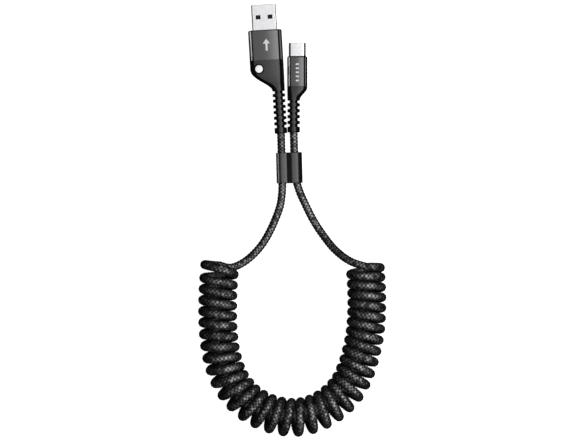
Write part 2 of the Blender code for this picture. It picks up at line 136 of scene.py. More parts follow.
def new_material(name, colour, roughness, metallic=0.0, others=None):
    """A material whose shader starts from the real surface's values; others are further sockets."""
    made = bpy.data.materials.new(name)
    made.use_nodes = True
    shader = made.node_tree.nodes["Principled BSDF"]
    values = {"Base Color": linear(colour), "Roughness": roughness, "Metallic": metallic}
    for key, value in {**values, **(others or {})}.items():
        shader.inputs[key].default_value = value
    return made, made.node_tree, shader


# %% World and floor
WHITE = (1, 1, 1, 1)
WORLD_PALE = 0.95
WORLD_FILL = 0.12
WORLD_MIRRORED = 0.008
FLOOR_GLOW = 0.85
FLOOR_SIZE = 14.0
FLOOR_DROP = 0.05 * MM

world = bpy.data.worlds.new("studio")
world.use_nodes = True
tree = world.node_tree
path_kind = add(tree, "LightPath")
strength = add(tree, "Mix", {0: path_kind.outputs["Is Camera Ray"], 2: WORLD_FILL, 3: WORLD_PALE})
strength = add(tree, "Mix", {0: path_kind.outputs["Is Glossy Ray"], 2: strength.outputs[0],
                             3: WORLD_MIRRORED})
sky = add(tree, "Background", {"Color": WHITE, "Strength": strength.outputs[0]})
tree.links.new(sky.outputs[0], tree.nodes["World Output"].inputs["Surface"])
bpy.context.scene.world = world
bpy.context.scene.view_settings.view_transform = "Standard"

bm = bmesh.new()
bmesh.ops.create_grid(bm, x_segments=1, y_segments=1, size=FLOOR_SIZE / 2)
bmesh.ops.translate(bm, vec=(0, 0, -FLOOR_DROP), verts=bm.verts)
floor_mesh = bpy.data.meshes.new("floor")
bm.to_mesh(floor_mesh)
bm.free()
floor = bpy.data.objects.new("floor", floor_mesh)
bpy.context.scene.collection.objects.link(floor)
board = new_material("back-lit white board", "f4f4f4", 0.9,
                     others={"Emission Color": WHITE, "Emission Strength": FLOOR_GLOW})[0]
floor_mesh.materials.append(board)
floor.visible_glossy = floor.visible_diffuse = False


# %% Softboxes
def softbox(name, place, aim, width, height, radiance):
    """A rectangular light that shines from place towards aim."""
    light = bpy.data.lights.new(name, "AREA")
    light.shape = "RECTANGLE"
    light.size, light.size_y = width, height
    light.energy = radiance * pi * width * height
    made = bpy.data.objects.new(name, light)
    made.location = place
    made.rotation_euler = (Vector(aim) - Vector(place)).to_track_quat("-Z", "Y").to_euler()
    made.visible_camera = False
    bpy.context.scene.collection.objects.link(made)
    return made


softbox("softbox_right", (0.51, 0, 1.6), (0.51, 0, 0), 0.80, 1.5, 4.0)
softbox("softbox_left", (-0.39, 0, 1.6), (-0.39, 0, 0), 0.96, 1.5, 1.2)
strips = [
    softbox("strip_left", (-0.32, 0.15, 0.055), (-0.01, 0.15, 0.004), 0.20, 0.08, 11.0),
    softbox("strip_right", (0.33, 0.15, 0.045), (0, 0.15, 0.004), 0.20, 0.07, 3.0),
]
cord_boxes = [
    softbox("softbox_cord_left", (-0.22, -0.10, 0.38), (0, -0.10, 0), 1.4, 0.3, 1.2),
    softbox("softbox_cord_right", (0.25, -0.10, 0.35), (0, -0.10, 0), 1.4, 0.4, 5.4),
]
clip_box = softbox("softbox_clip", (0.1, 0, 0.9), (0.1, 0, 0), 0.7, 1.5, 1.0)
clip_strip = softbox("strip_clip", (-0.32, 0, 0.035), (0, 0, 0.004), 0.06, 0.05, 24.0)
end_boxes = [
    softbox("softbox_far", (0, 1.2, 0.9), (0, 0, 0), 1.6, 1.0, 1.3),
    softbox("softbox_near", (0, -1.2, 0.9), (0, 0, 0), 1.6, 1.0, 1.3),
]

# %% [markdown]
# ## The cord's route
#
# The cord is one braided nylon tube, 4.1 mm thick. The two leads follow listed points, and the
# spring is a helix round a line that bends into a U. A loop works out its turns, and one smooth
# curve then runs through everything, so there's no kink where a lead enters the spring.
#
# A relaxed spring isn't even: its turns crowd together in the straight legs, most of all in the right
# one, and open in the bend. Its braid swells a little where nothing pulls it. Its first turn leans
# back over the lead.

# %% Points of the route
CORD_DIAMETER = 4.1 * MM
LEAD_A_ROUTE = [
    (-4.03, 16.50, 3.20), (-3.91, 12.00, 3.20), (-3.80, 7.60, 3.20), (-3.60, 0.00, 3.20),
    (-3.40, -7.60, 3.20), (-3.62, -13.0, 2.75), (-4.55, -18.8, 2.20), (-6.70, -24.8, 2.05),
    (-9.60, -31.2, 2.05), (-13.3, -37.4, 2.05), (-18.1, -42.8, 2.05), (-23.6, -46.9, 2.05),
    (-29.0, -48.7, 2.05), (-33.8, -47.6, 2.05),
]
LEAD_C_ROUTE = [
    (2.15, 17.00, 3.20), (2.27, 12.50, 3.20), (2.40, 7.700, 3.20), (2.60, 2.500, 3.20),
    (3.00, -2.60, 3.20), (3.80, -7.60, 3.20), (5.30, -12.2, 2.90), (7.45, -17.0, 2.40),
    (11.6, -25.3, 2.05), (16.6, -33.0, 3.20), (22.3, -40.0, 8.10), (29.3, -45.3, 14.0),
    (36.9, -47.9, 17.25),
]
COIL_ROUTE = [
    (-34.6, -60.0), (-34.8, -71.0), (-34.3, -82.0), (-32.6, -92.5), (-28.9, -102.9),
    (-22.4, -111.7), (-14.2, -117.5), (-5.30, -120.6), (3.90, -121.3), (13.0, -119.1),
    (21.3, -114.2), (28.0, -107.2), (32.2, -98.8), (34.9, -90.0), (36.8, -80.5),
    (37.6, -70.0), (37.6, -60.0),
]
COIL_TURNS = 34.5
COIL_STRAND_RADIUS = 7.6 * MM
COIL_CROWDING = 0.093
COIL_CROWDING_RIGHT = 0.058
COIL_SWELL = 0.22 * MM
FIRST_TURN_LIFT = 1.5 * MM
FIRST_TURN_SPAN = 1.5
STEPS_PER_TURN = 24
CURVE_STEPS = 12
INTO_BOOT = 1.6 * MM


# %% Smooth route
def smooth_route(points, spacing):
    """Points an even distance apart along a smooth curve through the given ones."""
    around = [2 * points[0] - points[1], *points, 2 * points[-1] - points[-2]]
    fine = [points[0]]
    for before, start, end, after in zip(around, around[1:], around[2:], around[3:]):
        lean = (end - before) / 6, (after - start) / 6
        fine += interpolate_bezier(start, start + lean[0], end - lean[1], end, CURVE_STEPS + 1)[1:]
    lengths = [0.0]
    for a, b in zip(fine, fine[1:]):
        lengths.append(lengths[-1] + (b - a).length)
    count = round(lengths[-1] / spacing)
    route, at = [fine[0]], 0
    for i in range(1, count):
        wanted = lengths[-1] * i / count
        while lengths[at + 1] < wanted:
            at += 1
        part = (wanted - lengths[at]) / (lengths[at + 1] - lengths[at])
        route.append(fine[at].lerp(fine[at + 1], part))
    return route + [fine[-1]]


def metres(points):
    return [Vector(point) * MM for point in points]


# %% The spring's turns
def spring(start, end):
    """The cord's middle through the spring, from the bottom of its left end to the top of its right."""
    axis_height = COIL_STRAND_RADIUS + CORD_DIAMETER / 2
    flat = [start.xy, *metres(COIL_ROUTE), end.xy]
    steps = round(COIL_TURNS * STEPS_PER_TURN)
    ends = [Vector((point.x, point.y, axis_height)) for point in flat]
    length = sum((b - a).length for a, b in zip(ends, ends[1:]))
    axis = smooth_route(ends, length / steps)
    turns = []
    for i, middle in enumerate(axis):
        ahead = axis[min(i + 1, len(axis) - 1)] - axis[max(i - 1, 0)]
        outward = Vector((ahead.y, -ahead.x, 0)).normalized()
        part = i / (len(axis) - 1)
        crowded = COIL_CROWDING * sin(tau * part) / tau + COIL_CROWDING_RIGHT * (part - 1) * part
        angle = tau * COIL_TURNS * (part + crowded)
        reach = sin(angle) * outward - cos(angle) * Vector((0, 0, 1))
        leaning = sin(angle / FIRST_TURN_SPAN) if angle < FIRST_TURN_SPAN * pi else 0.0
        back = -FIRST_TURN_LIFT * max(0.0, leaning) * ahead.normalized()
        turns.append(middle + reach * (COIL_STRAND_RADIUS - COIL_SWELL) + back)
    return turns


lead_a, lead_c = metres(LEAD_A_ROUTE), metres(LEAD_C_ROUTE)
turns = spring(lead_a[-1], lead_c[-1])
starts = [lead[0] + (lead[0] - lead[1]).normalized() * INTO_BOOT for lead in (lead_a, lead_c)]
knots = [starts[0], *lead_a[:-1], *turns, *reversed(lead_c[:-1]), starts[1]]

# %% [markdown]
# ## The braid
#
# Five strands wind round the cord each way, and each one passes over one strand and under the next.
# The braid could be a picture wrapped on a tube, but its edge would stay straight. Here the tube's
# own surface goes up and down with the strands: a flat grid is rolled up along the route, and each
# point's distance from the middle follows the higher of the two strands that cross there. The grid
# has four points to a crossing, so each strand's crown falls on a point.

# %% Heights of the strands
STRANDS = 5
CROSSING = 1.65 * MM
POINTS_PER_CROSSING = 4
STRAND_WAVE = 0.2 * MM
STRAND_CROWN = 0.3 * MM
LEAD_LENGTH = 82 * MM
SWELL_RUN = 14 * MM


def ease(part):
    """0 to 1 with a level start and end."""
    part = min(max(part, 0.0), 1.0)
    return part * part * (3 - 2 * part)


def strand_height(across, along, first):
    """How far a strand lies under the cord's full radius; along is counted in crossings."""
    nearest = round(across)
    wave = cos(pi * (along + nearest)) * first * STRAND_WAVE
    return wave - STRAND_WAVE - STRAND_CROWN * (2 * (across - nearest)) ** 2


def braid_height(around, along):
    """The higher of the two strands at a place on the braid."""
    right, left = around - along, around + along
    return max(strand_height(right, left, 1), strand_height(left, right, -1))


# %% Roll the grid up along the route
route = smooth_route(knots, CROSSING / POINTS_PER_CROSSING)
cord_length = sum((b - a).length for a, b in zip(route, route[1:]))
columns, rows = STRANDS * POINTS_PER_CROSSING, len(route) - 1

bm = bmesh.new()
bm.loops.layers.uv.new("braid")
bmesh.ops.create_grid(bm, x_segments=columns, y_segments=rows, size=0.5, calc_uvs=True)
grid = {}
for vert in bm.verts:
    grid[round((vert.co.x + 0.5) * columns), round((vert.co.y + 0.5) * rows)] = vert
up = Vector((0, 0, 1))
for row, middle in enumerate(route):
    ahead = (route[min(row + 1, rows)] - route[max(row - 1, 0)]).normalized()
    up = (up - up.dot(ahead) * ahead).normalized()
    side = ahead.cross(up)
    into_spring = min(row, rows - row) * cord_length / rows - LEAD_LENGTH
    swell = COIL_SWELL * ease(into_spring / SWELL_RUN)
    for column in range(columns + 1):
        angle = tau * column / columns
        height = braid_height(column / POINTS_PER_CROSSING, row / POINTS_PER_CROSSING)
        radius = CORD_DIAMETER / 2 + swell + height
        grid[column, row].co = middle + radius * (cos(angle) * side + sin(angle) * up)
bmesh.ops.remove_doubles(bm, verts=bm.verts, dist=MERGE)
bmesh.ops.holes_fill(bm, edges=[edge for edge in bm.edges if edge.is_boundary])
bmesh.ops.recalc_face_normals(bm, faces=bm.faces)
cord_mesh = bpy.data.meshes.new("braided_cord")
bm.to_mesh(cord_mesh)
bm.free()
cord_mesh.shade_smooth()
cord = bpy.data.objects.new("braided_cord", cord_mesh)
bpy.context.scene.collection.objects.link(cord)
print("cord:", round(cord_length, 3), "m,", len(cord_mesh.polygons), "faces")

# %% [markdown]
# ## Braided nylon
#
# Black dyed nylon yarn is a little glossy along its threads, so each crossing glints in another
# direction. The material reads the braid's own UV map, works out which strand is on top in the same
# way as the mesh does, and lays fine threads along that strand. Each bundle of threads lies a little
# differently, so each crossing mirrors more or less light by chance. The gaps between the strands
# are painted darker in both the base colour and the specular tint, which is painted shade, so they
# mirror hardly any light.

# %% Nylon material
THREADS_PER_STRAND = 5
THREAD_DEPTH = 0.014 * MM
LUCK_RANGE = (0.1, 1.25)
# Strand heights over which the painted shade rises from the dark gaps to the full crowns.
PAINTED_SHADE_HEIGHTS = (-0.75, 0.85)

nylon, tree, shader = new_material("black braided nylon", "101011", 0.3,
                                   others={"Specular IOR Level": 0.9, "IOR": 1.53})
uv = add(tree, "UVMap", uv_map="braid")
scaled = add(tree, "Mapping", {
    "Vector": uv.outputs[0], "Scale": (STRANDS, rows / POINTS_PER_CROSSING, 1)})
split = add(tree, "SeparateXYZ", {0: scaled.outputs[0]})
right = add(tree, "Math", {0: split.outputs[0], 1: split.outputs[1]}, operation="SUBTRACT")
left = add(tree, "Math", {0: split.outputs[0], 1: split.outputs[1]}, operation="ADD")


def strand_nodes(across, along, first):
    """A strand's height in wave units, and its threads, as nodes."""
    nearest = add(tree, "Math", {0: across, 1: 1.0}, operation="SNAP")
    shifted = add(tree, "Math", {0: across, 1: 0.5}, operation="ADD")
    tree.links.new(shifted.outputs[0], nearest.inputs[0])
    off = add(tree, "Math", {0: across, 1: nearest.outputs[0]}, operation="SUBTRACT")
    phase = add(tree, "Math", {0: along, 1: nearest.outputs[0]}, operation="ADD")
    turned = add(tree, "Math", {0: phase.outputs[0], 1: pi}, operation="MULTIPLY")
    wave = add(tree, "Math", {0: turned.outputs[0]}, operation="COSINE")
    signed = add(tree, "Math", {0: wave.outputs[0], 1: float(first)}, operation="MULTIPLY")
    doubled = add(tree, "Math", {0: off.outputs[0], 1: 2.0}, operation="MULTIPLY")
    squared = add(tree, "Math", {0: doubled.outputs[0], 1: 2.0}, operation="POWER")
    crown = add(tree, "Math", {0: squared.outputs[0], 1: -STRAND_CROWN / STRAND_WAVE},
                operation="MULTIPLY")
    height = add(tree, "Math", {0: signed.outputs[0], 1: crown.outputs[0]}, operation="ADD")
    stripe = add(tree, "Math", {0: off.outputs[0], 1: tau * THREADS_PER_STRAND},
                 operation="MULTIPLY")
    thread = add(tree, "Math", {0: stripe.outputs[0]}, operation="COSINE")
    return height.outputs[0], thread.outputs[0], nearest.outputs[0]


right_height, right_thread, right_number = strand_nodes(right.outputs[0], left.outputs[0], 1)
left_height, left_thread, left_number = strand_nodes(left.outputs[0], right.outputs[0], -1)
on_top = add(tree, "Math", {0: right_height, 1: left_height}, operation="GREATER_THAN")
thread = add(tree, "Mix", {0: on_top.outputs[0], 2: left_thread, 3: right_thread})
height = add(tree, "Math", {0: right_height, 1: left_height}, operation="MAXIMUM")
bump = add(tree, "Bump", {"Strength": 1.0, "Distance": THREAD_DEPTH, "Height": thread.outputs[0]})
crossing = add(tree, "CombineXYZ", {0: right_number, 1: left_number})
luck = add(tree, "TexWhiteNoise", {"Vector": crossing.outputs[0]}, noise_dimensions="2D")
best = add(tree, "MapRange", {"Value": luck.outputs["Value"], 3: LUCK_RANGE[0], 4: LUCK_RANGE[1]})
# Painted shade: the lower a place lies between strands, the darker its base colour and the weaker its specular
# tint; each crossing's crown level is also scaled by chance.
painted_shade_and_luck = add(tree, "MapRange", {
    "Value": height.outputs[0], 1: PAINTED_SHADE_HEIGHTS[0], 2: PAINTED_SHADE_HEIGHTS[1], 4: best.outputs[0]})
# Base colour with the painted shade in the gaps.
colour = add(tree, "Mix", {
    0: painted_shade_and_luck.outputs[0], 6: linear("020202"), 7: linear("1e1e20")}, data_type="RGBA")
tree.links.new(colour.outputs[2], shader.inputs["Base Color"])
# Specular tint with the painted shade: the gaps mirror almost nothing.
painted_shade_tint = add(tree, "Mix", {
    0: painted_shade_and_luck.outputs[0], 6: linear("080808"), 7: linear("ffffff")}, data_type="RGBA")
tree.links.new(painted_shade_tint.outputs[2], shader.inputs["Specular Tint"])
tree.links.new(bump.outputs[0], shader.inputs["Normal"])
cord_mesh.materials.append(nylon)

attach(cord, "cable")
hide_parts("cord_lead_a", "cord_coil", "cord_lead_c")

# %% [markdown]
# ## Where the plugs and the clip stand
#
# Each plug is easiest to model straight, round its own middle line: X across, +Y out of its front and
# Z up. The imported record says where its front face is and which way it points, and the CAD pieces say
# how large it is. At the end the finished mesh is turned and moved to that place, and the object
# itself stays at the origin.

# %% Places and sizes from the frame
def own_place(middle, forward):
    """The matrix that takes a straight piece to its place; forward is where its +Y points."""
    return Matrix.Translation(middle) @ Matrix.Rotation(atan2(-forward[0], forward[1]), 4, "Z")


def plug_place(mount, node):
    """A plug's place: its front face from the mount, its middle height from the sleeve."""
    face = next(each for each in frame["record"]["mounts"] if each["name"] == mount)
    low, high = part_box(node)
    return own_place((face["pos_m"][0], face["pos_m"][1], (low.z + high.z) / 2), face["axis"])


def own_box(node, place):
    """The lowest and highest corners of a CAD node, measured in its plug's own directions."""
    inverse = place.inverted()
    points = [inverse @ vert.co for vert in frame["nodes"][node].data.vertices]
    low, high = (Vector(pick(point[axis] for point in points) for axis in range(3))
                 for pick in (min, max))
    return low, high


usb_a = plug_place("usb_a_stop_face", "usb_a_sleeve")
usb_c = plug_place("usb_c_stop_face", "usb_c_sleeve")
clip_low, clip_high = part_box("cable_clip")
clip_place = own_place((clip_low + clip_high) / 2, frame["joints"][0]["axis"])
for label, place in (("usb_a", usb_a), ("usb_c", usb_c), ("clip", clip_place)):
    print(label, "at", [round(value / MM, 2) for value in place.translation], "mm")

# %% [markdown]
# ## Tubes through rings
#
# Most pieces here are tubes whose section changes along their length: a chamfered box that becomes a
# round-edged relief, for instance. A lattice or a subdivision surface could bend a box into that
# shape, but a moulding has exact radii. So a circle of edges is extruded from ring to ring, and each
# ring's points lie on an outline with cut corners. A corner's fullness says how round it is: 2 is a
# quarter circle, and a value nearer to 1 is a chamfer whose two edges are softened.

# %% Outline, tube and piece
CORNER_STEPS = 8
SIDE_STEPS = 6
SMOOTH_UNDER = radians(32)


def outline(y, middle, size, corner, fullness=2.0, crown=0.0):
    """Points round a box across the Y axis; crown makes its wide faces higher in the middle."""
    half_x, half_z = size[0] / 2, size[1] / 2
    corners = []
    for quarter, (side, top) in enumerate(((1, 1), (-1, 1), (-1, -1), (1, -1))):
        for step in range(CORNER_STEPS + 1):
            angle = (quarter + step / CORNER_STEPS) * pi / 2
            x = half_x - corner[0] * (1 - abs(cos(angle)) ** (2 / fullness))
            z = half_z - corner[1] * (1 - abs(sin(angle)) ** (2 / fullness))
            corners.append(Vector((side * x, y, top * z)))
    ring = []
    for i, point in enumerate(corners):
        ring.append(point)
        if i % (CORNER_STEPS + 1) == CORNER_STEPS:
            after = corners[(i + 1) % len(corners)]
            ring += [point.lerp(after, step / SIDE_STEPS) for step in range(1, SIDE_STEPS)]
    for point in ring:
        point.z *= 1 - crown * (point.x / half_x) ** 2
        point.x += middle[0]
        point.z += middle[1]
    return ring


def pull(bm, rings):
    """Add a tube: a circle of edges goes to the first ring, and is extruded to each next one."""
    order = bm.verts.layers.int.get("order") or bm.verts.layers.int.new("order")
    verts = bmesh.ops.create_circle(bm, segments=len(rings[0]), radius=1.0)["verts"]
    edges = [edge for edge in bm.edges if edge.is_wire]
    for number, vert in enumerate(verts):
        vert[order] = number
    for number, ring in enumerate(rings):
        if number:
            made = bmesh.ops.extrude_edge_only(bm, edges=edges)["geom"]
            verts = [part for part in made if isinstance(part, bmesh.types.BMVert)]
            edges = [part for part in made if isinstance(part, bmesh.types.BMEdge)
                     and part.is_boundary]
        for vert in verts:
            vert.co = ring[vert[order]]


def close(bm):
    """Merge points that meet and cap what is still open."""
    bmesh.ops.remove_doubles(bm, verts=bm.verts, dist=MERGE / 2)
    bmesh.ops.dissolve_degenerate(bm, edges=bm.edges, dist=MERGE / 2)
    bmesh.ops.holes_fill(bm, edges=[edge for edge in bm.edges if edge.is_boundary])


def piece(name, bm, place, surface, nodes, body):
    """Turn a finished bmesh into an object at its real place, which stands for its CAD nodes."""
    bmesh.ops.transform(bm, matrix=place, verts=bm.verts)
    bmesh.ops.recalc_face_normals(bm, faces=bm.faces)
    if bm.verts.layers.int.get("order"):
        bm.verts.layers.int.remove(bm.verts.layers.int["order"])
    mesh = bpy.data.meshes.new(name)
    bm.to_mesh(mesh)
    bm.free()
    mesh.shade_smooth()
    mesh.set_sharp_from_angle(angle=SMOOTH_UNDER)
    mesh.materials.append(surface)
    made = bpy.data.objects.new(name, mesh)
    bpy.context.scene.collection.objects.link(made)
    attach(made, body)
    if nodes:
        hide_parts(*nodes)
    even = made.modifiers.new("flat faces stay flat", "WEIGHTED_NORMAL")
    even.keep_sharp = True
    print(name + ":", len(mesh.polygons), "faces")
    return made

# %% [markdown]
# ## Surfaces
#
# Every finish starts from what the real one is. A moulding is never quite smooth: its mould was
# eroded or blasted, and that grain breaks up the mirror image of the lights. The grain of a real
# moulding is about 0.05 mm, far below a pixel here, so it is drawn a few times coarser.

# %% Grain
NOISE_RANGE = (0.3, 0.7)


def grain(material_parts, size, depth, rough, stretch=(1, 1, 1)):
    """Fine grain of one size as bump, and a roughness that wanders a little with it."""
    tree, shader = material_parts
    place = add(tree, "TexCoord")
    turned = add(tree, "Mapping", {"Vector": place.outputs["Object"], "Scale": stretch})
    noise = add(tree, "TexNoise", {
        "Vector": turned.outputs[0], "Scale": 1 / size, "Detail": 3.0, "Roughness": 0.6})
    bump = add(tree, "Bump", {"Strength": 1.0, "Distance": depth, "Height": noise.outputs[0]})
    spread = add(tree, "MapRange", {"Value": noise.outputs[0], 1: NOISE_RANGE[0], 2: NOISE_RANGE[1],
                                    3: rough[0], 4: rough[1]})
    tree.links.new(bump.outputs[0], shader.inputs["Normal"])
    tree.links.new(spread.outputs[0], shader.inputs["Roughness"])


# %% [markdown]
# Black thermoplastic elastomer is what cable boots are moulded in. It's matt, because its mould is
# blasted, and it has hardly any colour of its own: what looks grey on top is the softbox in a dull
# mirror. The sleeves are aluminium, blasted and anodised dark grey, so they are a satin mirror.

# %% Elastomer and anodised aluminium
elastomer, *parts = new_material("black thermoplastic elastomer", "0c0c0d", 0.3,
                                 others={"Specular IOR Level": 0.42})
grain(parts, 0.35 * MM, 0.006 * MM, (0.24, 0.31))

alloy, *parts = new_material("blasted and anodised aluminium", "4c4c4d", 0.2, 1.0)
grain(parts, 0.25 * MM, 0.0006 * MM, (0.18, 0.24))

# %% [markdown]
# The plugs' shells are folded from steel sheet and plated with bright nickel. Rolling leaves faint
# lines along the sheet. The springs inside are flashed with gold, and what holds them is a black
# liquid crystal polymer, which flows into thin walls and comes out dull with fine flow marks.

# %% Nickel, gold and liquid crystal polymer
nickel, *parts = new_material("bright nickel plate", "c2c2c4", 0.18, 1.0)
grain(parts, 0.3 * MM, 0.0015 * MM, (0.14, 0.24), (1, 0.06, 1))

gold, *parts = new_material("gold flash", "ddb35a", 0.22, 1.0)
grain(parts, 0.2 * MM, 0.002 * MM, (0.18, 0.28))

polymer, *parts = new_material("black liquid crystal polymer", "0a0a0b", 0.5,
                               others={"Specular IOR Level": 0.2})
grain(parts, 0.5 * MM, 0.006 * MM, (0.44, 0.56), (1, 0.4, 1))

# %% [markdown]
# The clip is polycarbonate out of a finely blasted mould, which leaves it satin. The ring round the
# indicator is the same plastic from a coarser mould, so that no glare spoils the light. The lens is
# opal: the same plastic again, with a white filler that spreads the light. Its faint emission is a
# painted glow that makes it read brighter.

# %% Polycarbonates and ink
# The lens's emission is a painted glow: it only makes the white lens read brighter.
LENS_PAINTED_GLOW = 0.25

clip_plastic, *parts = new_material("satin black polycarbonate", "131213", 0.32)
grain(parts, 1.2 * MM, 0.004 * MM, (0.28, 0.36))

ring_plastic, *parts = new_material("matt black polycarbonate", "040404", 0.5,
                                    others={"Specular IOR Level": 0.15})
grain(parts, 0.3 * MM, 0.002 * MM, (0.44, 0.56))

opal, *parts = new_material("opal polycarbonate", "f2f3f4", 0.25,
                            others={"Emission Color": WHITE, "Emission Strength": LENS_PAINTED_GLOW})
grain(parts, 0.6 * MM, 0.002 * MM, (0.2, 0.3))

ink, *parts = new_material("white printing ink", "ecedee", 0.5)
grain(parts, 0.2 * MM, 0.003 * MM, (0.42, 0.58))
print("materials:", len(bpy.data.materials))

# %% [markdown]
# ## Sleeves
#
# Each plug's front is a chamfered aluminium sleeve: outside it keeps a satin skin with softened
# chamfers, inside it has a slot for the shell and a pocket for the moulding. One tube makes it all,
# out of the slot, over the front edge, back along the outside and into the pocket, and its last ring
# meets its first. The wide faces are crowned a little, as extruded ones are, which lets a single
# light fade across them.

# %% Sleeve
SEAT_GAP = 0.1 * MM
JOINT_GAP = 0.02 * MM
JOINT_EDGE = 0.05 * MM
JOINT_MIDDLE = 0.3 * JOINT_EDGE
SLEEVE_LENGTH = 14.7 * MM
SLEEVE_COLLAR = 4.0 * MM
SLEEVE_WALL = 0.8 * MM
EDGE = 0.12 * MM
EDGE_MIDDLE = 0.4 * EDGE
CHAMFER_FULLNESS = 1.5
CROWN = 0.13


def grown(size, by):
    return size[0] + 2 * by, size[1] + 2 * by


def sleeve(name, place, size, cut, front_cut, slot, slot_corner):
    """The metal front of a plug, in one closed tube."""
    def outer(y, shrink):
        return outline(y, (0, 0), grown(size, -shrink), (cut, cut), CHAMFER_FULLNESS, CROWN)

    def inner(y, grow=0.0):
        corner = slot_corner + grow
        return outline(y, (0, 0), grown(slot, grow), (corner, corner))

    pocket = grown(size, -SLEEVE_WALL)
    start = inner(-SLEEVE_COLLAR)
    rings = [
        start, inner(-EDGE), inner(0, EDGE),
        outer(0, front_cut + EDGE), outer(-EDGE_MIDDLE, front_cut), outer(-front_cut, EDGE_MIDDLE),
        outer(-front_cut - EDGE, 0), outer(-SLEEVE_LENGTH + JOINT_EDGE, 0),
        outer(-SLEEVE_LENGTH + JOINT_MIDDLE, JOINT_MIDDLE), outer(-SLEEVE_LENGTH, JOINT_EDGE),
        outline(-SLEEVE_LENGTH, (0, 0), pocket, (cut, cut), CHAMFER_FULLNESS),
        outline(-SLEEVE_COLLAR, (0, 0), pocket, (cut, cut), CHAMFER_FULLNESS),
        start,
    ]
    bm = bmesh.new()
    pull(bm, rings)
    close(bm)
    return piece(name + "_anodised", bm, place, alloy, [name], "cable")


USB_A_SIZE = (16.4 * MM, 7.6 * MM)
USB_A_CUT = 2.2 * MM
USB_C_SIZE = (9.8 * MM, 6.4 * MM)
USB_C_CUT = 1.9 * MM
USB_A_SHELL = (12.0 * MM, 4.5 * MM)
USB_C_SHELL = (8.25 * MM, 2.4 * MM)
sleeve("usb_a_sleeve", usb_a, USB_A_SIZE, USB_A_CUT, front_cut=0.4 * MM,
       slot=grown(USB_A_SHELL, SEAT_GAP), slot_corner=0.7 * MM)
sleeve("usb_c_sleeve", usb_c, USB_C_SIZE, USB_C_CUT, front_cut=0.6 * MM,
       slot=grown(USB_C_SHELL, SEAT_GAP), slot_corner=USB_C_SHELL[1] / 2 + SEAT_GAP)

# %% [markdown]
# ## Boots
#
# The back of each plug is one soft moulding: a body as thick as the sleeve, a taper that swings to
# one side, and a strain relief with notches, so that it bends evenly. Between two notches the teeth
# have rounded corners. Along the top a plain spine runs through, and it falls away to both sides.
# Cutting the notches with a Boolean would leave ragged corners, so the rings follow them instead:
# each ring knows how far the notch reaches in there.

# %% Taper and notches
RELIEF_SIZE = (6.1 * MM, 5.4 * MM)
RELIEF_CORNER = 2.0 * MM
SPINE_FLAT = 0.8 * MM
RELIEF_FULLNESS = 1.65
NOTCH_REACH = 1.15 * MM
NOTCH_LENGTH = 1.35 * MM
TOOTH_ROUND = 0.22 * MM
NOTCH_ROUNDNESS = 2 / 3
FIRST_NOTCH = 1.0 * MM
RELIEF_COLLAR = 3.4 * MM
RELIEF_END_ROUND = 0.5 * MM
CORD_HOLE = 4.6 * MM
CORD_HOLE_DEPTH = 2.0 * MM
TAPER_STEPS = 24
END_STEPS = 5


def blend(start, end, part):
    return start + (end - start) * part


def notch_profile(round_steps=4, bowl_steps=12):
    """Places along one notch and how far in its side is there, with a rounded tooth at each end."""
    half, rise = NOTCH_LENGTH / 2, []
    for step in range(round_steps):
        angle = step / round_steps * pi / 2
        rise.append((-half - TOOTH_ROUND * (1 - sin(angle)), TOOTH_ROUND * (1 - cos(angle))))
    bowl = []
    for step in range(bowl_steps + 1):
        angle = pi * step / bowl_steps
        side = -1 if 2 * step < bowl_steps else 1
        along = side * abs(cos(angle)) ** NOTCH_ROUNDNESS * half
        depth = abs(sin(angle)) ** NOTCH_ROUNDNESS if 0 < step < bowl_steps else 0.0
        bowl.append((along, blend(TOOTH_ROUND, NOTCH_REACH, depth)))
    fall = [(-along, inward) for along, inward in reversed(rise)]
    return rise + bowl + fall


def relief_ring(y, middle, inward=0.0, shrink=0.0):
    """The relief's section where a notch reaches inward from both sides."""
    size = (RELIEF_SIZE[0] - 2 * inward - 2 * shrink, RELIEF_SIZE[1] - 2 * shrink)
    corner = ((size[0] - SPINE_FLAT) / 2 + 0.2 * shrink, RELIEF_CORNER - 0.4 * shrink)
    return outline(y, middle, size, corner, RELIEF_FULLNESS)


